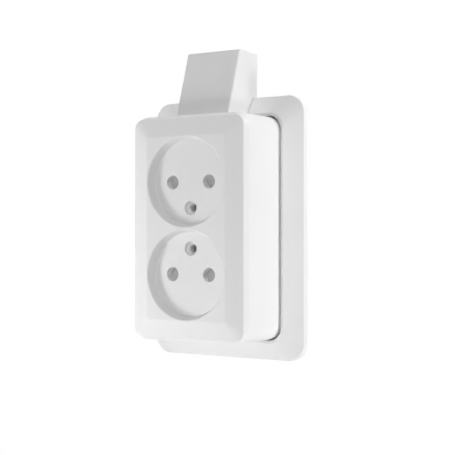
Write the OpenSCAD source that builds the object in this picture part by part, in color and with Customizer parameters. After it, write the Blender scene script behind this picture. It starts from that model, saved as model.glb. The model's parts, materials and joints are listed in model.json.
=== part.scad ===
// Raised double wall socket with its cover frame, cable cowl and mechanism.
// Lengths are in millimetres. Each piece is drawn lying on its back, with z as
// the height above the wall and y upwards, and upright() stands it up facing -Y.

/* [Cover frame] */
// Width of the cover frame
frame_width = 80; // [74:1:100]
// Height of the cover frame
frame_height = 120; // [114:1:140]
// Corner radius of the frame's outline
frame_corner = 8; // [4:0.5:12]
// Thickness of the frame's outer rim
frame_rim = 3.6; // [3:0.1:5]
// Height of the frame's crest above the wall
frame_crest = 9; // [8:0.1:10]
// Corner radius of the crest
crest_corner = 7; // [4:0.5:8]
// Corner radius of the frame's opening
opening_corner = 6.2; // [4:0.1:8]
// Width of the lip between the crest and the opening
lip_width = 1.4; // [1:0.1:2]
// Drop of the lip from the crest to the opening
lip_drop = 0.8; // [0.3:0.1:1.2]
// Wall thickness of the frame
frame_wall = 1.6; // [1.2:0.1:2]
// Thickness of the ledge that the raised cover clamps
ledge_thick = 1.4; // [1:0.1:2]
// Gap between the frame's opening and the raised cover
frame_gap = 0.3; // [0.3:0.1:0.8]

/* [Raised cover] */
// Width of the raised cover at its foot
cover_width = 60.4; // [58:0.1:62]
// Height of the raised cover at its foot
cover_height = 100.9; // [100:0.1:104]
// Corner radius of the raised cover's sides
cover_corner = 7; // [5:0.1:8]
// Draft of each side from the foot to the shoulder
cover_draft = 0.35; // [0.1:0.05:0.6]
// Wall thickness of the raised cover
cover_wall = 2.2; // [1.8:0.1:2.4]
// Depth of the chamfer from the front edge back to the shoulder
chamfer_depth = 2.5; // [1:0.1:4.1]
// Inset of the front edge from the shoulder
edge_inset = 1.5; // [1:0.1:2]
// Corner radius of the front edge
edge_corner = 4; // [3:0.1:6]
// Height of the flat face above the wall
face_height = 39.75; // [39.5:0.05:41]
// Rise of the flat face above the front edge
face_rise = 2.15; // [1:0.05:4]
// Inset of the flat face from the front edge
face_inset = 7.95; // [7:0.05:9]
// Corner radius of the flat face
face_corner = 1.5; // [1:0.1:3]

/* [Outlets] */
// Distance between the centres of the two outlets
outlet_pitch = 40.85; // [40.5:0.05:42]
// Radius of a recess
recess_radius = 19.8; // [19:0.1:20]
// Depth of a recess below the flat face
recess_depth = 4.55; // [4.5:0.05:5]
// Radius of the rounding between a recess's wall and its floor
recess_fillet = 0.5; // [0.3:0.1:4.3]
// Narrowing of a recess from its rim to its floor
recess_draft = 0.9; // [0.3:0.1:1.5]
// Size of the eased edge round a recess
rim_ease = 0.4; // [0.2:0.1:0.5]
// Thickness of a recess's floor
floor_thick = 2; // [1.6:0.1:2.4]
// Distance between the two pins of a plug
pin_spacing = 19; // [18.5:0.1:19.5]
// Diameter of a pin hole in the cover
pin_hole = 6.1; // [5.5:0.1:6.5]
// Distance from an outlet's centre to its cover screw
screw_offset = 11.4; // [11:0.1:12]
// Diameter of the sunk seat of a cover screw
seat_hole = 6.1; // [5.6:0.1:6.6]
// Depth of the straight part of that seat
seat_depth = 0.8; // [0.4:0.1:1.2]
// Depth of the cone below it
cone_depth = 1.9; // [1.4:0.1:2.2]
// Diameter of the hole for a cover screw
screw_hole = 3.6; // [3.2:0.1:4]
// Diameter of the boss behind that hole
boss_width = 8.4; // [8:0.1:9]
// Length of the boss behind the floor
boss_length = 5.4; // [1.5:0.1:5.6]

/* [Cable cowl] */
// Width of the cowl
cowl_width = 28; // [24:0.5:32]
// Rise of the cowl above the frame
cowl_rise = 20.7; // [12:0.1:30]
// Depth of the cowl at its top
cowl_top_depth = 16; // [14:0.1:20]
// Depth of the cowl at the raised cover
cowl_foot_depth = 26.1; // [24:0.1:28]
// Wall thickness of the cowl
cowl_wall = 1.8; // [1.4:0.1:2]
// Radius of the cowl's two front edges
cowl_edge = 0.9; // [0.5:0.1:1.5]
// Clearance between the cowl and what it is scribed to
scribe_gap = 0.2; // [0.1:0.05:0.4]
// Step from the cowl's outside to its neck
neck_step = 1.4; // [1:0.1:2]
// Reach of the flange that holds the neck behind the cover's wall
flange_reach = 1.6; // [1:0.1:2]
// Thickness of that flange
flange_thick = 1.4; // [1:0.1:1.8]

/* [Wall plate] */
// Thickness of the wall plate
plate_thick = 2; // [1.6:0.1:2.2]
// Overlap of the wall plate behind the frame's collar
plate_overlap = 1; // [0.5:0.1:1.4]
// Height of the rib that centres the raised cover
rib_height = 4; // [3:0.5:5]
// Thickness of that rib
rib_thick = 1.4; // [1:0.1:2]
// Distance between the two wall screw slots
slot_pitch = 60; // [56:0.5:64]
// Width of a wall screw slot
slot_width = 4.4; // [4:0.1:5]
// Length of a wall screw slot
slot_length = 9; // [7:0.5:12]
// Height of the wiring space behind the mechanism
wiring_depth = 11; // [10.5:0.1:11.5]
// Diameter of a mechanism post
post_width = 7.4; // [7:0.1:8]
// Distance between the posts across the plate
post_span = 40; // [39:0.5:41]
// Distance between the posts along the plate
post_rise = 62; // [60:0.5:64]
// Distance from the plate's centre to the cable clamp
clamp_offset = 42; // [41:0.5:43]
// Diameter of the cable that the clamp holds
cable_width = 6.8; // [6:0.1:7.4]
// Distance between the two clamp screws
clamp_span = 19; // [18.5:0.5:22]
// Height of the clamp's posts above the plate
clamp_post = 4.5; // [4:0.1:5]
// Thickness of the clamp bar
clamp_thick = 2.4; // [2:0.1:3]
// Width of the clamp bar
clamp_width = 7; // [6.4:0.1:8]

/* [Mechanism] */
// Width of the mechanism
mech_width = 50; // [49.5:0.5:52]
// Height of the mechanism
mech_height = 90; // [89:0.5:90.5]
// Corner radius of the mechanism
mech_corner = 3; // [2:0.5:5]
// Thickness of the mechanism's lid
lid_thick = 5.5; // [5:0.1:6]
// Thickness of the lid below its shutter pockets
pocket_floor = 1; // [0.8:0.1:1.4]
// Thickness of the base behind the bus bars
base_floor = 1; // [0.8:0.1:1.4]
// Clearance of fixed pieces inside the mechanism
seat_gap = 0.2; // [0.1:0.05:0.3]
// Clearance round a sliding shutter
slide_gap = 0.25; // [0.15:0.05:0.35]
// Width of a bus bar
bar_width = 6; // [5:0.1:6.4]
// Thickness of a bus bar
bar_thick = 0.8; // [0.6:0.1:1.2]
// Bore of a contact sleeve
contact_bore = 4.8; // [4.6:0.1:5]
// Wall thickness of a contact sleeve
contact_wall = 0.6; // [0.4:0.05:0.8]
// Width of the slits in a contact sleeve
contact_slit = 0.8; // [0.5:0.1:1.2]
// Thickness of a contact sleeve's foot
contact_foot = 0.8; // [0.6:0.1:1.2]
// Width of a terminal block across the mechanism
terminal_width = 7; // [6.5:0.1:7.5]
// Length of a terminal block along the mechanism
terminal_length = 8; // [7.5:0.1:8.4]
// Height of a terminal block
terminal_height = 8.2; // [7.8:0.1:8.6]
// Distance from the mechanism's centre to a terminal
terminal_offset = 37.5; // [37:0.1:38]
// Diameter of the wire hole in a terminal
wire_hole = 3.2; // [2.8:0.1:3.6]

/* [Shutters] */
// Cover of a shutter beyond the edge of a pin hole
shutter_margin = 0.95; // [0.7:0.05:1.2]
// Thickness of a shutter at its bridge
shutter_thick = 4.1; // [3.8:0.05:4.2]
// Thickness left at the thin end of a ramp
ramp_foot = 0.9; // [0.6:0.1:1.4]
// Extra travel of a shutter past the pin hole
extra_travel = 0.35; // [0.2:0.05:0.5]
// Length of a shutter spring at rest
spring_length = 12; // [11:0.1:12.4]
// Outer diameter of a shutter spring
spring_width = 3.2; // [2.8:0.1:3.4]
// Wire diameter of a shutter spring
spring_wire = 0.5; // [0.4:0.05:0.6]
// Number of turns of a shutter spring
spring_turns = 7; // [5:1:8]

/* [Screws] */
// Diameter of the mechanism, lid and clamp screws
screw_width = 3; // [2.6:0.1:3.2]
// Diameter of their heads
head_width = 5.6; // [5:0.1:5.8]
// Height of their heads
head_height = 1.8; // [1.4:0.1:2]
// Diameter of a terminal screw
terminal_screw = 3.4; // [3:0.1:3.6]
// Width of the slot in a screw head
driver_slot = 0.8; // [0.6:0.1:1]
// Depth of the slot in a screw head
driver_depth = 0.9; // [0.6:0.1:1.1]
// Clearance of a screw in its thread
thread_gap = 0.05; // [0.03:0.01:0.1]
// Outer diameter of a cover screw insert
insert_width = 5; // [4.6:0.1:5.4]
// Length of a cover screw insert
insert_length = 6; // [5:0.5:8]
// Tapped bore of a cover screw insert
insert_bore = 3; // [2.8:0.1:3.2]

/* [Hidden] */
$fn = 64;
hull_fn = 32;
skin = 0.01;
over = 1;
left = -1;
right = 1;
upper = 1;
lower = -1;
sides = [left, right];
ends = [upper, lower];

cover_size = [cover_width, cover_height];
frame_size = [frame_width, frame_height];
opening_size = grown(cover_size, frame_gap);
crest_size = grown(opening_size, lip_width);
shoulder_size = grown(cover_size, -cover_draft);
edge_size = grown(shoulder_size, -edge_inset);
face_size = grown(edge_size, -face_inset);
mech_size = [mech_width, mech_height];

edge_height = face_height - face_rise;
shoulder_height = edge_height - chamfer_depth;
foot_z = plate_thick + ledge_thick;
floor_z = face_height - recess_depth;
floor_back = floor_z - floor_thick;
lid_top = floor_back - seat_gap;
lid_z = lid_top - lid_thick;
pocket_z = lid_z + pocket_floor;
base_z = plate_thick + wiring_depth;
bar_z = base_z + base_floor;
contact_z = bar_z + bar_thick;
contact_top = lid_z - 6 * seat_gap;
contact_width = contact_bore + 2 * contact_wall;
wire_z = contact_z + terminal_height / 2.4;
pin_x = pin_spacing / 2;
outlet_y = outlet_pitch / 2;
screw_y = outlet_y - screw_offset;

cover_top = cover_height / 2;
cowl_foot = cover_top + scribe_gap / 4;
cowl_top = frame_height / 2 + cowl_rise;
cowl_slope = (cowl_foot_depth - cowl_top_depth) / (cowl_top - cowl_foot);
neck_width = cowl_width - 2 * neck_step;
neck_depth = cowl_foot_depth - neck_step;
neck_start = frame_crest + 1.5;
flange_y = cover_top - cover_wall - cover_draft - scribe_gap;

shutter_half = pin_hole / 2 + shutter_margin;
shutter_travel = shutter_half + pin_hole / 2 + extra_travel;
shutter_width = pin_spacing + 2 * shutter_half;
shutter_z = pocket_z + slide_gap;
bridge_width = pin_spacing - 2 * shutter_half;
pocket_end = shutter_half + shutter_travel + slide_gap;
spring_y = shutter_half + skin;
channel_end = spring_y + spring_length + skin;
spring_z = shutter_z + shutter_thick / 2;
channel_width = spring_width + 4 * slide_gap;
spigot_width = spring_width - 2 * spring_wire - 2 * slide_gap;
spigot_length = 1.6;

rib_size = grown(cover_size, -cover_wall - 1.5 * seat_gap);
clamp_z = plate_thick + clamp_post;
post_bore_depth = 8;

function grown(size, by) = [size[0] + 2 * by, size[1] + 2 * by];

module upright() rotate([90, 0, 0]) children();

module at_outlet(end) mirror([0, end < 0 ? 1 : 0, 0]) translate([0, outlet_y, 0]) children();

module round_rect(size, corner) {
    square([size[0] - 2 * corner, size[1]], center = true);
    square([size[0], size[1] - 2 * corner], center = true);
    for (x = sides, y = ends)
        translate([x * (size[0] / 2 - corner), y * (size[1] / 2 - corner)]) circle(corner);
}

module prism(size, corner, z_low, z_high)
    translate([0, 0, z_low]) linear_extrude(z_high - z_low) round_rect(size, corner);

// A thin layer of a blended form, with its top at the height z
module layer(size, corner, z)
    translate([0, 0, z - skin]) linear_extrude(skin) round_rect(size, corner, $fn = hull_fn);

module rod(width, z_low, z_high) translate([0, 0, z_low]) cylinder(d = width, h = z_high - z_low);

// A screw that points down, with its head seated at z = 0
module slotted_screw(shank, length, head) difference() {
    union() {
        rod(head, 0, head_height);
        rod(shank, -length, 0);
    }
    translate([-head, -driver_slot / 2, head_height - driver_depth])
        cube([2 * head, driver_slot, over + driver_depth]);
}

// The frame's outer form, swollen by a clearance for what is scribed to it
module frame_form(swell) {
    prism(grown(frame_size, swell), frame_corner + swell, -over, frame_rim + swell);
    hull() {
        layer(grown(frame_size, swell), frame_corner + swell, frame_rim + swell);
        layer(grown(crest_size, swell), crest_corner + swell, frame_crest + swell);
    }
}

// The hollow under the bevel, one wall inside the outer form
module frame_hollow() difference() {
    hull() {
        layer(grown(frame_size, -frame_wall), frame_corner - frame_wall, skin - over);
        layer(grown(frame_size, -frame_wall), frame_corner - frame_wall, frame_rim - frame_wall);
        layer(grown(crest_size, -frame_wall / 2), crest_corner, frame_crest - frame_wall);
    }
    prism(grown(opening_size, frame_wall), opening_corner + frame_wall, -2 * over, frame_crest);
}

module cover_frame() color("whitesmoke") upright() difference() {
    frame_form(0);
    translate([0, 0, -over]) linear_extrude(over) square(2 * frame_size, center = true);
    frame_hollow();
    prism(grown(opening_size, frame_wall + skin), opening_corner, -over, plate_thick);
    prism(grown(cover_size, -cover_wall), cover_corner - cover_wall, -over, frame_crest + over);
    prism(opening_size, opening_corner, foot_z, frame_crest + over);
    hull() {
        layer(opening_size, opening_corner, frame_crest - lip_drop);
        layer(crest_size, crest_corner, frame_crest + skin);
    }
}

// The raised cover's blended form, or its hollow when it is taken in by a wall
module cover_form(inset) hull() {
    layer(grown(cover_size, -inset), cover_corner - inset, foot_z + skin - inset);
    layer(grown(shoulder_size, -inset), cover_corner - inset, shoulder_height - inset / 2);
    layer(grown(edge_size, -inset), edge_corner - inset, edge_height - inset);
    layer(grown(face_size, -inset), face_corner, face_height - inset);
}

// The recess of one outlet: its wall narrows to the floor and meets it in a small fillet
module recess() {
    floor_radius = recess_radius - recess_draft;
    wall_depth = recess_depth - recess_fillet;
    translate([0, 0, floor_z]) rotate_extrude() {
        square([floor_radius - recess_fillet, recess_depth + over]);
        translate([0, recess_fillet]) polygon([
            [0, 0],
            [floor_radius, 0],
            [recess_radius, wall_depth],
            [recess_radius, wall_depth + over],
            [0, wall_depth + over]]);
        intersection() {
            translate([floor_radius - recess_fillet, recess_fillet]) circle(recess_fillet);
            square([recess_radius, recess_depth]);
        }
    }
    translate([0, 0, face_height - rim_ease])
        cylinder(r1 = recess_radius, r2 = recess_radius + 2 * rim_ease, h = 2 * rim_ease);
}

// The countersunk seat and the hole of one cover screw
module screw_seat() {
    rod(screw_hole, floor_back - boss_length - over, floor_z);
    rod(seat_hole, floor_z - seat_depth, floor_z + over);
    translate([0, 0, floor_z - seat_depth - cone_depth])
        cylinder(d1 = screw_hole, d2 = seat_hole, h = cone_depth);
}

module socket_cover() color("white") upright() difference() {
    union() {
        difference() {
            cover_form(0);
            cover_form(cover_wall);
        }
        for (end = ends) at_outlet(end) {
            rod(2 * (recess_radius + floor_thick), floor_back, face_height - 3 * rim_ease);
            translate([0, -screw_offset, 0])
                rod(boss_width, floor_back - boss_length, floor_z - skin);
        }
    }
    for (end = ends) at_outlet(end) {
        recess();
        for (x = sides) translate([x * pin_x, 0, 0]) rod(pin_hole, floor_back - over, floor_z + over);
        translate([0, -screw_offset, 0]) screw_seat();
    }
    translate([-neck_width / 2 - scribe_gap, cover_top - 2 * cover_wall, foot_z - over])
        cube([neck_width + 2 * scribe_gap, 3 * cover_wall, neck_depth + scribe_gap + over - foot_z]);
}

// A section of the cowl from the wall forward, with its two front edges rounded
module cowl_profile(width, depth, edge) {
    translate([-width / 2, 0]) square([width, depth - edge]);
    translate([edge - width / 2, 0]) square([width - 2 * edge, depth]);
    for (x = sides) translate([x * (width / 2 - edge), depth - edge]) circle(edge);
}

module cowl_layer(width, depth, edge, y_low, y_high)
    translate([0, y_high, 0]) rotate([90, 0, 0])
        linear_extrude(y_high - y_low) cowl_profile(width, depth, edge);

module cowl_form(inset, y_low, y_high) hull() for (y = [y_low, y_high - skin])
    cowl_layer(cowl_width - 2 * inset,
        cowl_top_depth + cowl_slope * (cowl_top - y) - inset, cowl_edge, y, y + skin, $fn = hull_fn);

module cable_cowl() color("gainsboro") upright() difference() {
    union() {
        cowl_form(0, cowl_foot, cowl_top);
        cowl_layer(neck_width, neck_depth, cowl_edge, flange_y - flange_thick, cowl_foot + skin);
        cowl_layer(neck_width + 2 * flange_reach, neck_depth + flange_reach, cowl_edge,
            flange_y - flange_thick, flange_y);
    }
    cowl_form(cowl_wall, cowl_foot + cowl_wall, cowl_top + over);
    cowl_layer(neck_width - 2 * cowl_wall, neck_depth - cowl_wall, cowl_edge / 2,
        flange_y - 2 * flange_thick, cowl_foot + cowl_wall + skin);
    translate([-cowl_width, 0, -over]) cube([2 * cowl_width, cowl_foot, neck_start + over]);
    frame_form(scribe_gap);
    translate([-cowl_width, 0, -2 * over]) cube([2 * cowl_width, 2 * cowl_top, 2 * over]);
}

module at_posts() for (x = sides, y = ends)
    translate([x * post_span / 2, y * post_rise / 2, 0]) children();

module at_clamp_screws() for (x = sides)
    translate([x * clamp_span / 2, clamp_offset, 0]) children();

module wall_plate() color("silver") upright() difference() {
    union() {
        prism(grown(opening_size, plate_overlap), opening_corner, 0, plate_thick);
        difference() {
            prism(rib_size, cover_corner - cover_wall, 0, plate_thick + rib_height);
            prism(grown(rib_size, -rib_thick), cover_corner - cover_wall - rib_thick / 2,
                plate_thick, plate_thick + rib_height + over);
        }
        at_posts() rod(post_width, 0, base_z);
        at_clamp_screws() rod(clamp_width, 0, clamp_z);
    }
    at_posts() rod(screw_width + 2 * thread_gap, base_z - post_bore_depth, base_z + over);
    at_clamp_screws()
        rod(screw_width + 2 * thread_gap, plate_thick, clamp_z + over);
    for (end = ends) translate([0, end * slot_pitch / 2, -over]) linear_extrude(plate_thick + 2 * over)
        round_rect([slot_width, slot_length], slot_width / 2 - skin);
}

// The row of pockets that holds one pole: a bus bar, two sleeves and two terminals
module pole_pocket() {
    pocket_height = lid_z - bar_z + over;
    bar_length = 2 * terminal_offset + terminal_length;
    translate([-bar_width / 2 - seat_gap, -bar_length / 2 - seat_gap, bar_z])
        cube([bar_width + 2 * seat_gap, bar_length + 2 * seat_gap, bar_thick + seat_gap]);
    for (end = ends) {
        translate([0, end * outlet_y, 0]) rod(contact_width + 2 * seat_gap, bar_z, lid_z + over);
        translate([-terminal_width / 2 - seat_gap,
                end * terminal_offset - terminal_length / 2 - seat_gap, bar_z])
            cube([terminal_width + 2 * seat_gap, terminal_length + 2 * seat_gap, pocket_height]);
        translate([0, end * terminal_offset, wire_z]) rotate([-90 * end, 0, 0])
            cylinder(d = wire_hole + seat_gap, h = mech_height / 2);
    }
}

module mechanism_base() color("dimgray") upright() difference() {
    prism(mech_size, mech_corner, base_z, lid_z);
    for (x = sides) translate([x * pin_x, 0, 0]) pole_pocket();
    at_posts() {
        rod(screw_width + 2 * seat_gap, base_z - over, lid_z + over);
        rod(head_width + 2 * seat_gap, base_z + wiring_depth / 2, lid_z + over);
    }
    for (end = ends) translate([0, end * screw_y, 0])
        rod(insert_width, lid_z - insert_length, lid_z + over);
    for (x = sides) translate([x * post_span / 2, 0, 0])
        rod(screw_width + 2 * thread_gap, base_z + wiring_depth / 2, lid_z + over);
}

// The pocket in which a shutter and its spring run
module shutter_pocket() {
    depth = lid_top - pocket_z + over;
    low_end = -shutter_half - slide_gap;
    translate([-shutter_width / 2 - slide_gap, low_end, pocket_z])
        cube([shutter_width + 2 * slide_gap, pocket_end - low_end, depth]);
    translate([-channel_width / 2, 0, pocket_z]) cube([channel_width, channel_end, depth]);
    for (x = sides) translate([x * pin_x, 0, 0]) rod(pin_hole, lid_z - over, pocket_z + over);
}

module mechanism_lid() color("slategray") upright() difference() {
    prism(mech_size, mech_corner, lid_z, lid_top);
    for (end = ends) {
        at_outlet(end) shutter_pocket();
        translate([0, end * screw_y, 0]) rod(boss_width + 3 * seat_gap, lid_z - over, lid_top + over);
        for (x = sides) translate([x * pin_x, end * terminal_offset, 0])
            rod(head_width + 2 * seat_gap, lid_z - over, lid_top + over);
    }
    at_posts() rod(head_width + 2 * seat_gap, lid_z - over, lid_top + over);
    for (x = sides) translate([x * post_span / 2, 0, 0]) {
        rod(screw_width + 2 * seat_gap, lid_z - over, lid_top + over);
        rod(head_width + 2 * seat_gap, lid_top - head_height, lid_top + over);
    }
}

module bus_bar(side) color("goldenrod") upright() translate([side * pin_x, 0, bar_z]) {
    bar_length = 2 * terminal_offset + terminal_length;
    linear_extrude(bar_thick) square([bar_width, bar_length], center = true);
}
module bus_bar_left() bus_bar(left);
module bus_bar_right() bus_bar(right);

// A sleeve that is slit on two sides, so that it grips a round pin
module contact(side, end) color("darkgoldenrod") upright()
    translate([side * pin_x, end * outlet_y, 0]) difference() {
        rod(contact_width, contact_z, contact_top);
        rod(contact_bore, contact_z + contact_foot, contact_top + over);
        translate([-contact_slit / 2, -contact_width, contact_z + 3 * contact_foot])
            cube([contact_slit, 2 * contact_width, contact_top - contact_z]);
    }
module contact_upper_left() contact(left, upper);
module contact_upper_right() contact(right, upper);
module contact_lower_left() contact(left, lower);
module contact_lower_right() contact(right, lower);

// A pillar terminal: the wire enters from the end and the screw from the front
module terminal(side, end) color("gold") upright()
    translate([side * pin_x, end * terminal_offset, 0]) difference() {
        translate([-terminal_width / 2, -terminal_length / 2, contact_z])
            cube([terminal_width, terminal_length, terminal_height]);
        translate([0, -end * terminal_length, wire_z]) rotate([-90 * end, 0, 0])
            cylinder(d = wire_hole, h = 2 * terminal_length);
        rod(terminal_screw + 2 * thread_gap, wire_z, contact_z + terminal_height + over);
    }
module terminal_upper_left() terminal(left, upper);
module terminal_upper_right() terminal(right, upper);
module terminal_lower_left() terminal(left, lower);
module terminal_lower_right() terminal(right, lower);

module terminal_screws() color("lightgray") upright() for (x = sides, y = ends)
    translate([x * pin_x, y * terminal_offset, contact_z + terminal_height])
        slotted_screw(terminal_screw, contact_z + terminal_height - wire_z, head_width);

// A ramp cut: a pin that presses on it drives the shutter outwards
module ramp_cut() translate([-shutter_half - over, 0, 0]) rotate([90, 0, 90])
    linear_extrude(2 * shutter_half + over) polygon([
        [-shutter_half - over, ramp_foot],
        [over - shutter_half, ramp_foot],
        [shutter_half, shutter_thick],
        [shutter_half, shutter_thick + over],
        [-shutter_half - over, shutter_thick + over]]);

module shutter(end) color("snow") upright() at_outlet(end) translate([0, 0, shutter_z]) {
    difference() {
        translate([-shutter_width / 2, -shutter_half, 0])
            cube([shutter_width, 2 * shutter_half, shutter_thick]);
        translate([-pin_x, 0, 0]) ramp_cut();
        mirror([1, 0, 0]) translate([-pin_x, 0, 0]) ramp_cut();
        translate([-bridge_width / 2 + over, -2 * shutter_half, -over])
            cube([bridge_width - 2 * over, 2 * shutter_half, shutter_thick + 2 * over]);
    }
    translate([0, shutter_half - skin, shutter_thick / 2]) rotate([-90, 0, 0])
        cylinder(d = spigot_width, h = spigot_length);
}
module shutter_upper() shutter(upper);
module shutter_lower() shutter(lower);

// Points of a wire that is wound round the y axis, ring by ring
spring_radius = (spring_width - spring_wire) / 2;
turn_steps = 14;
wire_sides = 6;
spring_steps = spring_turns * turn_steps;
spring_pitch = (spring_length - spring_wire) / spring_turns;
function coil_point(step, side) =
    let (turn = 360 * step / turn_steps,
        round = 360 * side / wire_sides,
        reach = spring_radius + spring_wire / 2 * cos(round))
    [reach * cos(turn),
        spring_wire / 2 + spring_pitch * step / turn_steps + spring_wire / 2 * sin(round),
        reach * sin(turn)];

module coil() polyhedron(
    points = [for (step = [0 : spring_steps], side = [0 : wire_sides - 1]) coil_point(step, side)],
    faces = concat(
        [[for (side = [0 : wire_sides - 1]) side]],
        [[for (side = [wire_sides - 1 : -1 : 0]) spring_steps * wire_sides + side]],
        [for (step = [0 : spring_steps - 1], side = [0 : wire_sides - 1])
            let (next = (side + 1) % wire_sides, ring = step * wire_sides)
            [ring + side, ring + wire_sides + side, ring + wire_sides + next, ring + next]]));

module shutter_spring(end) color("silver") upright() at_outlet(end)
    translate([0, spring_y, spring_z]) coil();
module shutter_spring_upper() shutter_spring(upper);
module shutter_spring_lower() shutter_spring(lower);

module cover_insert(end) color("gold") upright() translate([0, end * screw_y, 0]) difference() {
    rod(insert_width, lid_z - insert_length, lid_z);
    rod(insert_bore, lid_z - insert_length - over, lid_z + over);
}
module cover_insert_upper() cover_insert(upper);
module cover_insert_lower() cover_insert(lower);

module mechanism_screws() color("lightgray") upright() at_posts()
    translate([0, 0, base_z + wiring_depth / 2])
        slotted_screw(screw_width, wiring_depth / 2 + post_bore_depth - over, head_width);

module lid_screws() color("lightgray") upright() for (x = sides)
    translate([x * post_span / 2, 0, lid_top - head_height])
        slotted_screw(screw_width, lid_thick + head_height, head_width);

// A bar with a raised saddle that presses the cable on the wall plate
module cable_clamp() color("whitesmoke") upright() difference() {
    union() {
        translate([-clamp_span / 2 - clamp_width / 2, clamp_offset - clamp_width / 2, clamp_z])
            cube([clamp_span + clamp_width, clamp_width, clamp_thick]);
        translate([0, clamp_offset + clamp_width / 2, clamp_z]) rotate([90, 0, 0])
            cylinder(d = cable_width + 1.5 * clamp_thick, h = clamp_width);
    }
    translate([0, clamp_offset + clamp_width, clamp_z]) rotate([90, 0, 0])
        cylinder(d = cable_width, h = 2 * clamp_width);
    translate([-clamp_span, clamp_offset - clamp_width, clamp_z - cable_width])
        cube([2 * clamp_span, 2 * clamp_width, cable_width]);
    at_clamp_screws() rod(screw_width + 2 * seat_gap, clamp_z - over, clamp_z + clamp_thick + over);
}

module clamp_screws() color("lightgray") upright() at_clamp_screws()
    translate([0, 0, clamp_z + clamp_thick])
        slotted_screw(screw_width, clamp_thick + clamp_post - over, head_width);

socket_cover();
cover_frame();
cable_cowl();
wall_plate();
mechanism_base();
mechanism_lid();
bus_bar_left();
bus_bar_right();
contact_upper_left();
contact_upper_right();
contact_lower_left();
contact_lower_right();
terminal_upper_left();
terminal_upper_right();
terminal_lower_left();
terminal_lower_right();
terminal_screws();
shutter_upper();
shutter_lower();
shutter_spring_upper();
shutter_spring_lower();
cover_insert_upper();
cover_insert_lower();
mechanism_screws();
lid_screws();
cable_clamp();
clamp_screws();
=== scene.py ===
"""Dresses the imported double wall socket: finer mouldings, materials, soft light and the camera."""

import json
import math

import bmesh
import bpy
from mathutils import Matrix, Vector

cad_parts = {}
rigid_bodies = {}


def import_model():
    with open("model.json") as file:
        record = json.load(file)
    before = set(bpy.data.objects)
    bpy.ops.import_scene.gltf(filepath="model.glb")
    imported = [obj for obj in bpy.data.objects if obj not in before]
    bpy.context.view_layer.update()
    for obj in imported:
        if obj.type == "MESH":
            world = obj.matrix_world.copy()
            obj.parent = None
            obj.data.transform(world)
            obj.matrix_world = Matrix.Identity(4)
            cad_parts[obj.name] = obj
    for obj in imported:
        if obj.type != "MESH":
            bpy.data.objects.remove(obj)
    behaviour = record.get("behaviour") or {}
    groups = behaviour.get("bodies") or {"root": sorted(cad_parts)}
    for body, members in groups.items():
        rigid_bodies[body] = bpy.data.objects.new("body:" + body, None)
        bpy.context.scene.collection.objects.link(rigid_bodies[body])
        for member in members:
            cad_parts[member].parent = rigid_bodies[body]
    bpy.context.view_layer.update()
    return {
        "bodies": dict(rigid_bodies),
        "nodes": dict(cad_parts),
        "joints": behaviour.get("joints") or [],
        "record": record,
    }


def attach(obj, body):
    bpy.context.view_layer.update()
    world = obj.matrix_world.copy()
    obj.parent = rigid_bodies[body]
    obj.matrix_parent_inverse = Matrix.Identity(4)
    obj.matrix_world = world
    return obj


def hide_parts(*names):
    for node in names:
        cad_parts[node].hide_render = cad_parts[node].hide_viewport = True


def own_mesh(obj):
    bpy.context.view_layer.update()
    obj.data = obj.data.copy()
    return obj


MM = 0.001
# Cutters reach about this many millimetres past what they cut, and joined solids into each other
OVER = 1.0
# The profiles of turned solids begin this close to their axis
AXIS = 0.001

# The cover frame, in millimetres. Sizes are half widths and half heights.
FRAME_OUTLINE = (40.0, 60.0)
FRAME_CORNER = 8.0
RIM_HEIGHT = 3.6
CREST_OUTLINE = (31.9, 52.15)
CREST_CORNER = 7.0
CREST_HEIGHT = 9.0
OPENING_OUTLINE = (30.32, 50.7)
OPENING_CORNER = 5.8
LIP_DROP = 1.0
FRAME_WALL = 1.6
LEDGE_INNER = (28.0, 48.25)
LEDGE_TOP = 3.4
LEDGE_BACK = 2.0
COLLAR_HEIGHT = 6.6
# How far each corner of the frame's section is eased
FRAME_EASE = (0, 0.3, 0.25, 0.2, 0, 0, 0, 0, 0.3, 0.3, 0)

# The raised cover
COVER_FOOT = (30.2, 50.45)
COVER_CORNER = 7.0
COVER_WALL = 2.2
SHOULDER = (29.85, 50.1)
SHOULDER_HEIGHT = 35.1
EDGE = (28.35, 48.6)
EDGE_CORNER = 4.0
EDGE_HEIGHT = 37.6
FACE = (20.4, 40.65)
FACE_CORNER = 1.5
FACE_HEIGHT = 39.75
# How far each corner of the cover's section is eased
COVER_EASE = (0, 0.3, 0.22, 0.3)

# The two outlets
OUTLET_UP = 20.425
RECESS_RADIUS = 19.8
RECESS_FILLET = 0.5
RECESS_DRAFT = 0.9
FLOOR_HEIGHT = 35.2
FLOOR_BACK = 33.2
CUP_DROP = 1.2
RIM_ROUND = 0.6
PIN_X = 9.5
PIN_RADIUS = 3.05
# The pin guides behind the pin holes end just clear of the shutters' ramps
GUIDE_WALL = 0.8
GUIDE_END = 29.9
RAMP_START = -3.0
RAMP_SLOPE = 0.457
SCREW_OFFSET = 11.4
SEAT_RADIUS = 3.05
SEAT_DEPTH = 1.5
CONE_DEPTH = 1.0
SCREW_RADIUS = 1.8
BOSS_RADIUS = 4.2
BOSS_LENGTH = 5.4
HOLE_ROUND = 0.22

# The cable cowl
COWL_HALF = 14.0
COWL_FOOT = 50.5
COWL_TOP = 80.7
COWL_FOOT_DEPTH = 26.1
COWL_TOP_DEPTH = 16.0
COWL_WALL = 1.8
COWL_ROUND = 0.9
COWL_LIP = 0.35
SCRIBE = 0.2
NECK_HALF = 12.6
NECK_DEPTH = 24.7
NECK_START = 10.5
NECK_CUT_FROM = 30.0
FLANGE_UP = (46.3, 47.7)
FLANGE_REACH = 1.6
THROAT_LAP = 0.02

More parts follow.
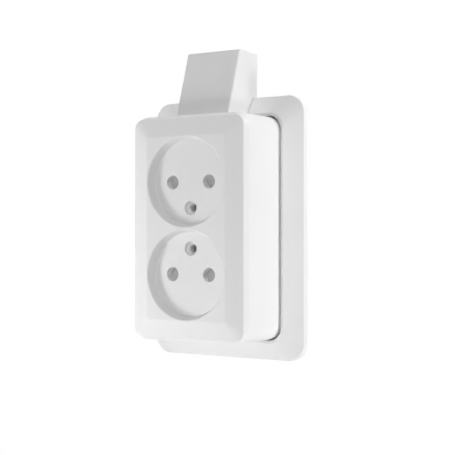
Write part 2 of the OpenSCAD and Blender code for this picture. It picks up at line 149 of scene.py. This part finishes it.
# The shutter springs
SPRING_START = 24.435
SPRING_LENGTH = 12.0
SPRING_OUT = 30.8
SPRING_RADIUS = 1.35
WIRE_RADIUS = 0.25
SPRING_TURNS = 7
SPRING_CREASE = 60.0

# The photograph's camera
LENS = 82.44
SENSOR = 36.0
CAMERA_PLACE = (0.250115, -0.421289, 0.0)
CAMERA_TURN = 30.904
CAMERA_SHIFT = 0.00158
NEAREST = 0.01
FARTHEST = 20.0

# The staged floor, in metres
FLOOR_DROP = -0.95
STAGE_RADIUS = 3.0
# The share of pure white in the floor where it is seen directly
STAGE_WHITE = 0.85

# Steps of the rounded forms
CORNER_STEPS = 14
ROUND_STEPS = 5
TURN_STEPS = 96
FILLET_STEPS = 6
RIM_STEPS = 7
HOLE_STEPS = 4
CHANNEL_STEPS = 8
LIP_STEPS = 3
COIL_STEPS = 28
WIRE_SIDES = 10
STAGE_SIDES = 64

# A rounded rim's arc ends at this angle, just short of level with the face
RIM_END = 94
# An eased corner takes up at most this share of a side
EASE_LIMIT = 0.45

# Points nearer than this are one, in metres: in a new mesh, and in one that has been cut
WELD = 1e-7
SKIN_WELD = 2e-7
# Gaps in a skin with up to this many sides are closed
GAP_SIDES = 8
# Edges steeper than this many degrees stay crisp
CREASE = 32.0
NORMAL_WEIGHT = 100
# Faces over this many square metres are shaded as true planes
FLAT_AREA = 2.5e-5

# The materials' noises: scale, detail and roughness. A streak's scale differs from metal to metal.
FLOW = (38.0, 3.0, 0.55)
CLOUD = (190.0, 5.0, 0.6)
GRAIN = (2600.0, 3.0, 0.6)
STAIN = (260.0, 4.0, 0.6)
SPECK = (60.0, 5.0, 0.6)
STREAK = (6.0, 0.65)
# The middle part of a noise, where nearly all its values lie
NOISE_LOW = 0.25
NOISE_HIGH = 0.75
# How strong and how deep each relief is
GRAIN_RELIEF = (0.12, 0.00004)
FLOW_RELIEF = (0.05, 0.0002)
STREAK_RELIEF = (0.15, 0.00003)
# How far the roughness of a surface falls and rises about its own value
PLASTIC_SPREAD = (0.04, 0.05)
METAL_SPREAD = (0.08, 0.1)
PLASTIC_IOR = 1.5
FLOOR_ROUGHNESS = 0.8


def world(x, up, out):
    """A point of the room in metres, from millimetres across, up and out of the wall."""
    return Vector((x * MM, -out * MM, up * MM))


def ring(size, corner, out):
    """The points of a rounded rectangle at one height above the wall."""
    points = []
    centres = ((1, 1, 0), (-1, 1, 90), (-1, -1, 180), (1, -1, 270))
    for side, end, start in centres:
        x = side * (size[0] - corner)
        y = end * (size[1] - corner)
        for step in range(CORNER_STEPS + 1):
            turn = math.radians(start + 90 * step / CORNER_STEPS)
            points.append(world(x + corner * math.cos(turn), y + corner * math.sin(turn), out))
    return points


def mixed(first, second, share):
    """A station part of the way from one to the next."""
    return tuple(a + (b - a) * share for a, b in zip(first, second))


def station_gap(first, second):
    """How far apart two stations lie in the section."""
    across = max(abs(first[0] - second[0]), abs(first[1] - second[1]))
    return math.hypot(across, first[3] - second[3])


def eased(stations, radii, closed=False):
    """The section's stations with each corner rounded by its own reach."""
    made = []
    count = len(stations)
    for i, here in enumerate(stations):
        reach = radii[i]
        at_end = not closed and i in (0, count - 1)
        if reach <= 0 or at_end:
            made.append(here)
            continue
        before = stations[i - 1]
        after = stations[(i + 1) % count]
        start = mixed(here, before, min(EASE_LIMIT, reach / station_gap(here, before)))
        end = mixed(here, after, min(EASE_LIMIT, reach / station_gap(here, after)))
        for step in range(ROUND_STEPS + 1):
            share = step / ROUND_STEPS
            made.append(mixed(mixed(start, here, share), mixed(here, end, share), share))
    return made


def link(name, mesh):
    """A new object with this mesh."""
    piece = bpy.data.objects.new(name, mesh)
    bpy.context.scene.collection.objects.link(piece)
    return piece


def mesh_from(name, build):
    """A mesh made by build(bm), with its faces turned outwards."""
    bm = bmesh.new()
    build(bm)
    bmesh.ops.remove_doubles(bm, verts=bm.verts, dist=WELD)
    bmesh.ops.recalc_face_normals(bm, faces=bm.faces)
    mesh = bpy.data.meshes.new(name)
    bm.to_mesh(mesh)
    bm.free()
    return mesh


def bridge(bm, rings, closed):
    """Joins rings of equally many points, in order, with four-sided faces."""
    rows = [[bm.verts.new(point) for point in points] for points in rings]
    count = len(rows[0])
    last = len(rows) if closed else len(rows) - 1
    for i in range(last):
        near = rows[i]
        far = rows[(i + 1) % len(rows)]
        for j in range(count):
            k = (j + 1) % count
            bm.faces.new((near[j], near[k], far[k], far[j]))
    return rows


def capped(bm, rings):
    """Joins rings of points into a solid with flat ends."""
    rows = bridge(bm, rings, False)
    bm.faces.new(rows[0])
    bm.faces.new(rows[-1])


def solid(name, rings):
    """A new object: the solid through these rings."""
    return link(name, mesh_from(name, lambda bm: capped(bm, rings)))


def loft(name, stations):
    """A solid through rounded rectangles."""
    return solid(name, [ring(s[:2], s[2], s[3]) for s in stations])


def band(name, stations):
    """A closed band through rounded rectangles, the last joined to the first."""
    rings = [ring(s[:2], s[2], s[3]) for s in stations]
    return link(name, mesh_from(name, lambda bm: bridge(bm, rings, True)))


def circle(x, up, radius, out):
    """The points of a circle at one height above the wall."""
    turns = [2 * math.pi * i / TURN_STEPS for i in range(TURN_STEPS)]
    return [world(x + radius * math.cos(t), up + radius * math.sin(t), out) for t in turns]


def turned(name, profile, centres):
    """Solids of revolution about lines straight out of the wall, one for each centre."""

    def build(bm):
        for x, up in centres:
            capped(bm, [circle(x, up, radius, out) for radius, out in profile])

    return link(name, mesh_from(name, build))


def block(name, low, high):
    """A box between two corners given across, up and out, in millimetres."""

    def build(bm):
        made = bmesh.ops.create_cube(bm, size=1.0)
        for vert in made["verts"]:
            share = [c + 0.5 for c in vert.co]
            vert.co = world(*[a + (b - a) * s for a, b, s in zip(low, high, share)])

    return link(name, mesh_from(name, build))


def combine(target, other, operation):
    """Joins or cuts the target with another solid, which is then deleted."""
    step = target.modifiers.new("combine", "BOOLEAN")
    step.operation = operation
    step.solver = "EXACT"
    step.object = other
    bake(target)
    bpy.data.objects.remove(other)


def bake(target):
    """Writes the modifiers of an object into its mesh."""
    bpy.context.view_layer.update()
    graph = bpy.context.evaluated_depsgraph_get()
    made = bpy.data.meshes.new_from_object(target.evaluated_get(graph))
    target.modifiers.clear()
    old = target.data
    target.data = made
    bpy.data.meshes.remove(old)


def finish_surface(target, crease=CREASE):
    """A closed skin and smooth shading with crisp edges, weighted so that flat faces stay flat."""
    bm = bmesh.new()
    bm.from_mesh(target.data)
    bmesh.ops.remove_doubles(bm, verts=bm.verts, dist=SKIN_WELD)
    bmesh.ops.dissolve_degenerate(bm, edges=bm.edges, dist=SKIN_WELD)
    bmesh.ops.holes_fill(bm, edges=bm.edges, sides=GAP_SIDES)
    bm.to_mesh(target.data)
    bm.free()
    target.data.shade_smooth()
    target.data.set_sharp_from_angle(angle=math.radians(crease))
    for face in target.data.polygons:
        if face.area > FLAT_AREA:
            face.use_smooth = False
    weighted = target.modifiers.new("weighted", "WEIGHTED_NORMAL")
    weighted.keep_sharp = True
    weighted.weight = NORMAL_WEIGHT
    bake(target)


def cover_stations(inset):
    """The raised cover's section from foot to face, taken in by a wall thickness."""
    shoulder_drop = inset / 2
    return [
        (COVER_FOOT[0] - inset, COVER_FOOT[1] - inset, COVER_CORNER - inset, LEDGE_TOP),
        (SHOULDER[0] - inset, SHOULDER[1] - inset, COVER_CORNER - inset, SHOULDER_HEIGHT - shoulder_drop),
        (EDGE[0] - inset, EDGE[1] - inset, EDGE_CORNER - inset, EDGE_HEIGHT - inset),
        (FACE[0] - inset, FACE[1] - inset, FACE_CORNER, FACE_HEIGHT - inset),
    ]


def quarter(centre, radius, start, end, steps):
    """Points of an arc in a section, in degrees."""
    points = []
    for step in range(steps + 1):
        turn = math.radians(start + (end - start) * step / steps)
        points.append((centre[0] + radius * math.cos(turn), centre[1] + radius * math.sin(turn)))
    return points


def recess_profile():
    """The cutter of a recess: flat floor, small fillet, slightly drafted wall and rounded rim."""
    profile = [(AXIS, FLOOR_HEIGHT)]
    foot = (RECESS_RADIUS - RECESS_DRAFT - RECESS_FILLET, FLOOR_HEIGHT + RECESS_FILLET)
    profile += quarter(foot, RECESS_FILLET, -90, 0, FILLET_STEPS)
    rim = (RECESS_RADIUS + RIM_ROUND, FACE_HEIGHT - RIM_ROUND)
    profile += quarter(rim, RIM_ROUND, 180, RIM_END, RIM_STEPS)
    profile.append((RECESS_RADIUS + RIM_ROUND, FACE_HEIGHT + OVER))
    profile.append((AXIS, FACE_HEIGHT + OVER))
    return profile


def hole_profile(radius, back, top, ease):
    """The cutter of a round hole with an eased rim."""
    profile = [(AXIS, back), (radius, back)]
    profile += quarter((radius + ease, top - ease), ease, 180, RIM_END, HOLE_STEPS)
    profile.append((radius + ease, top + OVER))
    profile.append((AXIS, top + OVER))
    return profile


def rod_profile(radius, back, top):
    """The profile of a plain rod."""
    return [(AXIS, back), (radius, back), (radius, top), (AXIS, top)]


def seat_profile():
    """The cutter of a countersunk screw hole."""
    back = FLOOR_BACK - BOSS_LENGTH - OVER
    cone_back = FLOOR_HEIGHT - SEAT_DEPTH - CONE_DEPTH
    profile = [(AXIS, back), (SCREW_RADIUS, back)]
    profile += [(SCREW_RADIUS, cone_back), (SEAT_RADIUS, FLOOR_HEIGHT - SEAT_DEPTH)]
    rim = (SEAT_RADIUS + HOLE_ROUND, FLOOR_HEIGHT - HOLE_ROUND)
    profile += quarter(rim, HOLE_ROUND, 180, RIM_END, HOLE_STEPS)
    profile += [(SEAT_RADIUS + HOLE_ROUND, FLOOR_HEIGHT + OVER), (AXIS, FLOOR_HEIGHT + OVER)]
    return profile


def ramp_wedge(end):
    """The space of one outlet's shutter under the pin guides, as a cutter."""
    reach = 2 * PIN_RADIUS
    high = GUIDE_END + RAMP_SLOPE * (reach - RAMP_START)
    low = GUIDE_END - 3 * OVER
    outline = [(-reach, GUIDE_END), (RAMP_START, GUIDE_END), (reach, high), (reach, low), (-reach, low)]
    rings = []
    for x in (-2 * PIN_X, 2 * PIN_X):
        rings.append([world(x, end * (OUTLET_UP + up), out) for up, out in outline])
    return solid("ramp_wedge", rings)


def pin_guides(pins):
    """Short tubes behind the pin holes, with ends cut to the slope of the shutters."""
    profile = rod_profile(PIN_RADIUS + GUIDE_WALL, GUIDE_END - OVER, FLOOR_BACK + OVER / 2)
    guides = turned("pin_guides", profile, pins)
    for end in (1, -1):
        combine(guides, ramp_wedge(end), "DIFFERENCE")
    return guides


def cover_shell():
    """The raised cover's outside and inside, still without its outlets."""
    cover = loft("raised_cover", eased(cover_stations(0), COVER_EASE))
    hollow = cover_stations(COVER_WALL)
    hollow[0] = hollow[0][:3] + (LEDGE_TOP - OVER,)
    combine(cover, loft("hollow", hollow), "DIFFERENCE")
    return cover


def neck_notch():
    """The cutter of the notch in the cover's top, through which the cowl's neck passes."""
    low = (-NECK_HALF - SCRIBE, COVER_FOOT[1] - 2 * COVER_WALL, LEDGE_TOP - OVER)
    high = (NECK_HALF + SCRIBE, COVER_FOOT[1] + COVER_WALL, NECK_DEPTH + SCRIBE)
    return block("notch", low, high)


def make_cover():
    """The raised cover: a hollow moulding with two recesses, pin holes and screw holes."""
    cover = cover_shell()
    outlets = ((0, OUTLET_UP), (0, -OUTLET_UP))
    screws = ((0, OUTLET_UP - SCREW_OFFSET), (0, SCREW_OFFSET - OUTLET_UP))
    pins = [(x, up) for x in (-PIN_X, PIN_X) for up in (OUTLET_UP, -OUTLET_UP)]
    cup_radius = RECESS_RADIUS + FLOOR_HEIGHT - FLOOR_BACK
    cup_profile = rod_profile(cup_radius, FLOOR_BACK, FACE_HEIGHT - CUP_DROP)
    for outlet in outlets:
        combine(cover, turned("cup", cup_profile, (outlet,)), "UNION")
    boss_profile = rod_profile(BOSS_RADIUS, FLOOR_BACK - BOSS_LENGTH, FLOOR_HEIGHT - OVER)
    combine(cover, turned("bosses", boss_profile, screws), "UNION")
    combine(cover, turned("recesses", recess_profile(), outlets), "DIFFERENCE")
    combine(cover, pin_guides(pins), "UNION")
    pin_profile = hole_profile(PIN_RADIUS, GUIDE_END - OVER, FLOOR_HEIGHT, HOLE_ROUND)
    combine(cover, turned("pin_holes", pin_profile, pins), "DIFFERENCE")
    combine(cover, turned("seats", seat_profile(), screws), "DIFFERENCE")
    combine(cover, neck_notch(), "DIFFERENCE")
    finish_surface(cover)
    return cover


def frame_stations():
    """The cover frame's closed section, from its outer foot over the crest and back."""
    hollow_corner = FRAME_CORNER - FRAME_WALL
    collar = (OPENING_OUTLINE[0] + FRAME_WALL, OPENING_OUTLINE[1] + FRAME_WALL)
    collar_corner = OPENING_CORNER + FRAME_WALL
    inner = (FRAME_OUTLINE[0] - FRAME_WALL, FRAME_OUTLINE[1] - FRAME_WALL)
    ledge_corner = COVER_CORNER - COVER_WALL
    return [
        FRAME_OUTLINE + (FRAME_CORNER, 0.0),
        FRAME_OUTLINE + (FRAME_CORNER, RIM_HEIGHT),
        CREST_OUTLINE + (CREST_CORNER, CREST_HEIGHT),
        OPENING_OUTLINE + (OPENING_CORNER, CREST_HEIGHT - LIP_DROP),
        OPENING_OUTLINE + (OPENING_CORNER, LEDGE_TOP),
        LEDGE_INNER + (ledge_corner, LEDGE_TOP),
        LEDGE_INNER + (ledge_corner, LEDGE_BACK),
        collar + (collar_corner, LEDGE_BACK),
        collar + (collar_corner, COLLAR_HEIGHT),
        inner + (hollow_corner, RIM_HEIGHT - FRAME_WALL),
        inner + (hollow_corner, 0.0),
    ]


def make_frame():
    """The bevelled frame round the raised cover, hollow underneath."""
    frame = band("bevelled_frame", eased(frame_stations(), FRAME_EASE, closed=True))
    finish_surface(frame)
    return frame


def cowl_depth(up, inset):
    """How far the cowl stands off the wall at one height."""
    slope = (COWL_FOOT_DEPTH - COWL_TOP_DEPTH) / (COWL_TOP - COWL_FOOT)
    return COWL_TOP_DEPTH + slope * (COWL_TOP - up) - inset


def channel_ring(half, depth, radius, up, back=0.0):
    """A level section of the cowl, with its two front edges rounded."""
    right = quarter((half - radius, depth - radius), radius, 0, 90, CHANNEL_STEPS)
    left = quarter((radius - half, depth - radius), radius, 90, 180, CHANNEL_STEPS)
    points = [(half, back)] + right + left + [(-half, back)]
    return [world(x, up, out) for x, out in points]


def cowl_outside():
    """The cowl's outer form, with its top edge rounded inwards."""
    rings = [channel_ring(COWL_HALF, cowl_depth(COWL_FOOT, 0), COWL_ROUND, COWL_FOOT)]
    for step in range(LIP_STEPS + 1):
        turn = math.radians(90 * step / LIP_STEPS)
        drawn_in = COWL_LIP * (1 - math.cos(turn))
        up = COWL_TOP - COWL_LIP * (1 - math.sin(turn))
        rings.append(channel_ring(COWL_HALF - drawn_in, cowl_depth(up, drawn_in), COWL_ROUND, up))
    return solid("cowl", rings)


def cowl_inside():
    """The cutter of the space inside the cowl, open at its top and back."""
    rings = []
    for up in (COWL_FOOT + COWL_WALL, COWL_TOP + OVER):
        depth = cowl_depth(up, COWL_WALL)
        rings.append(channel_ring(COWL_HALF - COWL_WALL, depth, COWL_ROUND / 2, up, -OVER))
    return solid("inside", rings)


def straight(name, half, depth, radius, levels, back=0.0):
    """A form of one level section between two levels."""
    return solid(name, [channel_ring(half, depth, radius, up, back) for up in levels])


def make_cowl():
    """The wedge that hides the cable between the wall and the raised cover."""
    cowl = cowl_outside()
    neck_levels = (FLANGE_UP[0], COWL_FOOT + OVER / 2)
    combine(cowl, straight("neck", NECK_HALF, NECK_DEPTH, COWL_ROUND, neck_levels), "UNION")
    flange_half = NECK_HALF + FLANGE_REACH
    flange_depth = NECK_DEPTH + FLANGE_REACH
    combine(cowl, straight("flange", flange_half, flange_depth, COWL_ROUND, FLANGE_UP), "UNION")
    combine(cowl, cowl_inside(), "DIFFERENCE")
    throat_half = NECK_HALF - COWL_WALL
    throat_depth = NECK_DEPTH - COWL_WALL
    throat_levels = (FLANGE_UP[0] - OVER, COWL_FOOT + COWL_WALL + THROAT_LAP)
    throat = straight("throat", throat_half, throat_depth, COWL_ROUND / 2, throat_levels, -OVER)
    combine(cowl, throat, "DIFFERENCE")
    start_low = (-FRAME_OUTLINE[0], NECK_CUT_FROM, -OVER)
    start_high = (FRAME_OUTLINE[0], COWL_FOOT, NECK_START)
    combine(cowl, block("start", start_low, start_high), "DIFFERENCE")
    combine(cowl, frame_space(), "DIFFERENCE")
    finish_surface(cowl)
    return cowl


def frame_space():
    """The frame's outer form with a small clearance, which the cowl is scribed to."""
    outline = (FRAME_OUTLINE[0] + SCRIBE, FRAME_OUTLINE[1] + SCRIBE)
    crest = (CREST_OUTLINE[0] + SCRIBE, CREST_OUTLINE[1] + SCRIBE)
    stations = [
        outline + (FRAME_CORNER + SCRIBE, -2 * OVER),
        outline + (FRAME_CORNER + SCRIBE, RIM_HEIGHT + SCRIBE),
        crest + (CREST_CORNER + SCRIBE, CREST_HEIGHT + SCRIBE),
    ]
    return loft("frame_space", stations)


def coil_ring(turn, rise, end):
    """The points round a spring's wire, at one turn and one rise of its coil."""
    points = []
    for side in range(WIRE_SIDES):
        way = 2 * math.pi * side / WIRE_SIDES
        reach = SPRING_RADIUS + WIRE_RADIUS * math.cos(way)
        up = end * (SPRING_START + rise + WIRE_RADIUS * math.sin(way))
        points.append(world(reach * math.cos(turn), up, SPRING_OUT + reach * math.sin(turn)))
    return points


def make_spring(name, end):
    """A return spring wound round the way its shutter slides."""
    steps = SPRING_TURNS * COIL_STEPS
    pitch = (SPRING_LENGTH - 2 * WIRE_RADIUS) / SPRING_TURNS
    rings = []
    for step in range(steps + 1):
        turn = 2 * math.pi * step * SPRING_TURNS / steps
        rise = WIRE_RADIUS + pitch * SPRING_TURNS * step / steps
        rings.append(coil_ring(turn, rise, end))
    spring = solid(name, rings)
    finish_surface(spring, SPRING_CREASE)
    return spring


class Shader:
    """A material's nodes, with short calls to add and join them."""

    def __init__(self, name):
        self.material = bpy.data.materials.new(name)
        self.material.use_nodes = True
        self.tree = self.material.node_tree
        self.surface = self.tree.nodes["Principled BSDF"]
        self.place = self.tree.nodes.new("ShaderNodeTexCoord").outputs["Object"]

    def join(self, out, into):
        """Joins an output to an input."""
        self.tree.links.new(out, into)

    def noise(self, scale, detail, rough, stretch=None):
        """The value of a noise, which may be stretched."""
        made = self.tree.nodes.new("ShaderNodeTexNoise")
        made.inputs["Scale"].default_value = scale
        made.inputs["Detail"].default_value = detail
        made.inputs["Roughness"].default_value = rough
        place = self.place
        if stretch:
            mapping = self.tree.nodes.new("ShaderNodeMapping")
            mapping.inputs["Scale"].default_value = stretch
            self.join(self.place, mapping.inputs["Vector"])
            place = mapping.outputs["Vector"]
        self.join(place, made.inputs["Vector"])
        return made.outputs["Fac"]

    def ranged(self, value, low, high):
        """A noise's value brought to the range from low to high."""
        made = self.tree.nodes.new("ShaderNodeMapRange")
        made.inputs["From Min"].default_value = NOISE_LOW
        made.inputs["From Max"].default_value = NOISE_HIGH
        made.inputs["To Min"].default_value = low
        made.inputs["To Max"].default_value = high
        self.join(value, made.inputs["Value"])
        return made.outputs["Result"]

    def blend(self, share, first, second):
        """A colour between two."""
        made = self.tree.nodes.new("ShaderNodeMix")
        made.data_type = "RGBA"
        made.inputs[6].default_value = (*first, 1)
        made.inputs[7].default_value = (*second, 1)
        self.join(share, made.inputs[0])
        return made.outputs[2]

    def bump(self, height, strength, distance, under=None):
        """A relief, which may lie over another one."""
        made = self.tree.nodes.new("ShaderNodeBump")
        made.inputs["Strength"].default_value = strength
        made.inputs["Distance"].default_value = distance
        self.join(height, made.inputs["Height"])
        if under:
            self.join(under, made.inputs["Normal"])
        return made.outputs["Normal"]


def plastic(name, light, dark, rough):
    """Moulded plastic: a fine grain, a faint flow mottle and a slightly uneven gloss."""
    shader = Shader(name)
    surface = shader.surface
    surface.inputs["IOR"].default_value = PLASTIC_IOR
    flow = shader.noise(*FLOW)
    cloud = shader.noise(*CLOUD)
    shader.join(shader.blend(shader.ranged(flow, 0.0, 1.0), light, dark), surface.inputs["Base Color"])
    smoothest = rough - PLASTIC_SPREAD[0]
    roughest = rough + PLASTIC_SPREAD[1]
    shader.join(shader.ranged(cloud, smoothest, roughest), surface.inputs["Roughness"])
    fine = shader.bump(shader.noise(*GRAIN), *GRAIN_RELIEF)
    sink = shader.bump(flow, *FLOW_RELIEF, fine)
    shader.join(sink, surface.inputs["Normal"])
    return shader.material


def metal(name, light, dark, rough, scale, stretch):
    """Worked metal: a stain in its colour, and drawn streaks in its gloss and surface."""
    shader = Shader(name)
    surface = shader.surface
    surface.inputs["Metallic"].default_value = 1.0
    streaks = shader.noise(scale, *STREAK, stretch)
    stain = shader.noise(*STAIN)
    shader.join(shader.blend(shader.ranged(stain, 0.0, 1.0), light, dark), surface.inputs["Base Color"])
    smoothest = rough - METAL_SPREAD[0]
    roughest = rough + METAL_SPREAD[1]
    shader.join(shader.ranged(streaks, smoothest, roughest), surface.inputs["Roughness"])
    shader.join(shader.bump(streaks, *STREAK_RELIEF), surface.inputs["Normal"])
    return shader.material


def dress(target, material):
    """Gives an object one material, in every slot it has."""
    if not target.data.materials:
        target.data.materials.append(material)
    for index in range(len(target.material_slots)):
        target.material_slots[index].link = "OBJECT"
        target.material_slots[index].material = material


def grey(value):
    """A neutral colour."""
    return (value, value, value)


def make_materials():
    """Every finish on the part, by the record's slot names."""
    brass = ((0.72, 0.47, 0.17), (0.55, 0.34, 0.12))
    screw = ((0.56, 0.56, 0.57), (0.42, 0.43, 0.44))
    wire = ((0.5, 0.5, 0.51), (0.38, 0.38, 0.39))
    stone = ((0.52, 0.52, 0.51), (0.47, 0.47, 0.46))
    coal = ((0.045, 0.045, 0.048), (0.032, 0.032, 0.034))
    return {
        "cover_plastic": plastic("cover_plastic", grey(0.83), grey(0.81), 0.42),
        "frame_plastic": plastic("frame_plastic", grey(0.83), grey(0.81), 0.42),
        "cowl_plastic": plastic("cowl_plastic", grey(0.8), grey(0.78), 0.46),
        "plate_plastic": plastic("plate_plastic", *stone, 0.5),
        "base_plastic": plastic("base_plastic", *coal, 0.48),
        "lid_plastic": plastic("lid_plastic", *stone, 0.5),
        "shutter_plastic": plastic("shutter_plastic", grey(0.7), grey(0.67), 0.38),
        "contact_brass": metal("contact_brass", *brass, 0.3, 700.0, (1, 0.12, 1)),
        "screw_steel": metal("screw_steel", *screw, 0.32, 900.0, (1, 1, 0.2)),
        "spring_steel": metal("spring_steel", *wire, 0.24, 1400.0, (0.3, 0.3, 1)),
    }


def make_camera():
    """The camera of the photograph: level, to the right of the part."""
    data = bpy.data.cameras.new("camera")
    data.lens = LENS
    data.sensor_width = SENSOR
    data.shift_y = CAMERA_SHIFT
    data.clip_start = NEAREST
    data.clip_end = FARTHEST
    camera = bpy.data.objects.new("camera", data)
    camera.location = CAMERA_PLACE
    camera.rotation_euler = (math.radians(90), 0, math.radians(CAMERA_TURN))
    bpy.context.scene.collection.objects.link(camera)
    bpy.context.scene.camera = camera


# Each lamp: its turn from the front and its rise in degrees, its width and distance in metres, its watts
LAMPS = {
    "key_lowest": (-45, -34, 0.11, 0.4, 0.155),
    "key_low": (-45, -27, 0.11, 0.4, 0.198),
    "key_high": (-45, -20, 0.11, 0.4, 0.193),
    "key_highest": (-45, -10, 0.11, 0.4, 0.104),
    "front_low": (0, -30, 0.11, 0.4, 0.19),
    "left": (-85, 0, 0.5, 1.4, 3.68),
    "left_front": (-45, 0, 0.5, 1.4, 0.74),
    "right_front": (40, 0, 0.5, 1.4, 2.47),
    "right": (95, 0, 0.5, 1.4, 1.57),
    "high_front": (20, 30, 0.6, 1.4, 2.58),
    "high_right": (110, 30, 0.6, 1.4, 9.09),
    "low_right": (95, -30, 0.5, 1.4, 4.95),
    "above": (30, 60, 0.7, 1.4, 3.24),
    "below_right": (120, -60, 0.6, 0.97, 2.2),
    "above_back": (180, 84, 0.7, 1.4, 5.7),
    "back": (180, 10, 0.7, 1.4, 4.5),
    "left_back": (-130, 10, 0.7, 1.4, 2.5),
}
LAMP_AIM = (0, -0.02, 0.01)


def make_lamps():
    """Soft lamps round the part, all aimed at its middle."""
    middle = Vector(LAMP_AIM)
    for name, (azimuth, height, width, distance, watts) in LAMPS.items():
        data = bpy.data.lights.new(name, "AREA")
        data.shape = "DISK"
        data.size = width
        data.energy = watts
        lamp = bpy.data.objects.new(name, data)
        turn = math.radians(azimuth)
        rise = math.radians(height)
        way = Vector((math.sin(turn) * math.cos(rise), -math.cos(turn) * math.cos(rise), math.sin(rise)))
        lamp.location = middle + way * distance
        lamp.rotation_euler = (-way).to_track_quat("-Z", "Y").to_euler()
        lamp.visible_camera = False
        bpy.context.scene.collection.objects.link(lamp)


def larger(tree, first, second):
    """The larger of two values."""
    made = tree.nodes.new("ShaderNodeMath")
    made.operation = "MAXIMUM"
    tree.links.new(first, made.inputs[0])
    tree.links.new(second, made.inputs[1])
    return made.outputs[0]


def seen_directly(tree):
    """One where a ray comes from the camera, or through glass or off a gloss."""
    path = tree.nodes.new("ShaderNodeLightPath").outputs
    gloss = larger(tree, path["Is Camera Ray"], path["Is Glossy Ray"])
    return larger(tree, gloss, path["Is Transmission Ray"])


def mix_surface(tree, share, first, second, end):
    """Mixes two surfaces and joins them to a tree's end node."""
    mix = tree.nodes.new("ShaderNodeMixShader")
    tree.links.new(share, mix.inputs[0])
    tree.links.new(first, mix.inputs[1])
    tree.links.new(second, mix.inputs[2])
    tree.links.new(mix.outputs[0], tree.nodes[end].inputs["Surface"])


def make_world():
    """A world that gives no light of its own and is plain white where it is seen."""
    made = bpy.data.worlds.new("studio")
    bpy.context.scene.world = made
    made.use_nodes = True
    tree = made.node_tree
    dark = tree.nodes["Background"]
    dark.inputs["Color"].default_value = (1, 1, 1, 1)
    dark.inputs["Strength"].default_value = 0.0
    white = tree.nodes.new("ShaderNodeBackground")
    white.inputs["Color"].default_value = (1, 1, 1, 1)
    white.inputs["Strength"].default_value = 1.0
    mix_surface(tree, seen_directly(tree), dark.outputs[0], white.outputs[0], "World Output")


def floor_paint():
    """A pale matt paint, which is nearly pure white where it is seen directly."""
    shader = Shader("floor_paint")
    shader.surface.inputs["Roughness"].default_value = FLOOR_ROUGHNESS
    speck = shader.ranged(shader.noise(*SPECK), 0.0, 1.0)
    shader.join(shader.blend(speck, grey(0.86), grey(0.83)), shader.surface.inputs["Base Color"])
    tree = shader.tree
    white = tree.nodes.new("ShaderNodeEmission")
    white.inputs["Strength"].default_value = 1.0
    share = tree.nodes.new("ShaderNodeMath")
    share.operation = "MULTIPLY"
    share.inputs[1].default_value = STAGE_WHITE
    tree.links.new(seen_directly(tree), share.inputs[0])
    mix_surface(tree, share.outputs[0], shader.surface.outputs[0], white.outputs[0], "Material Output")
    return shader.material


def make_floor():
    """A plain pale floor well below the part, which keeps a soft shadow."""

    def build(bm):
        bmesh.ops.create_circle(bm, cap_ends=True, segments=STAGE_SIDES, radius=STAGE_RADIUS)
        for vert in bm.verts:
            vert.co.z = FLOOR_DROP

    floor = link("floor", mesh_from("floor", build))
    dress(floor, floor_paint())


def stand_in(piece, node, slot, materials):
    """Puts a finer piece on the socket in place of its CAD node."""
    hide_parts(node)
    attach(piece, "socket")
    dress(piece, materials[slot])


def main():
    """Dresses the part, and sets up its camera, light and floor."""
    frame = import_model()
    make_camera()
    materials = make_materials()
    slots = {row["node"]: row["material_slot"] for row in frame["record"]["subparts"]}
    for node, target in frame["nodes"].items():
        dress(target, materials[slots[node]])
    stand_in(make_cover(), "socket_cover", "cover_plastic", materials)
    stand_in(make_frame(), "cover_frame", "frame_plastic", materials)
    stand_in(make_cowl(), "cable_cowl", "cowl_plastic", materials)
    for word, end in (("upper", 1), ("lower", -1)):
        spring = make_spring("fine_spring_" + word, end)
        stand_in(spring, "shutter_spring_" + word, "spring_steel", materials)
        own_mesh(spring)
    make_lamps()
    make_world()
    make_floor()
    bpy.context.scene.view_settings.view_transform = "Standard"


main()
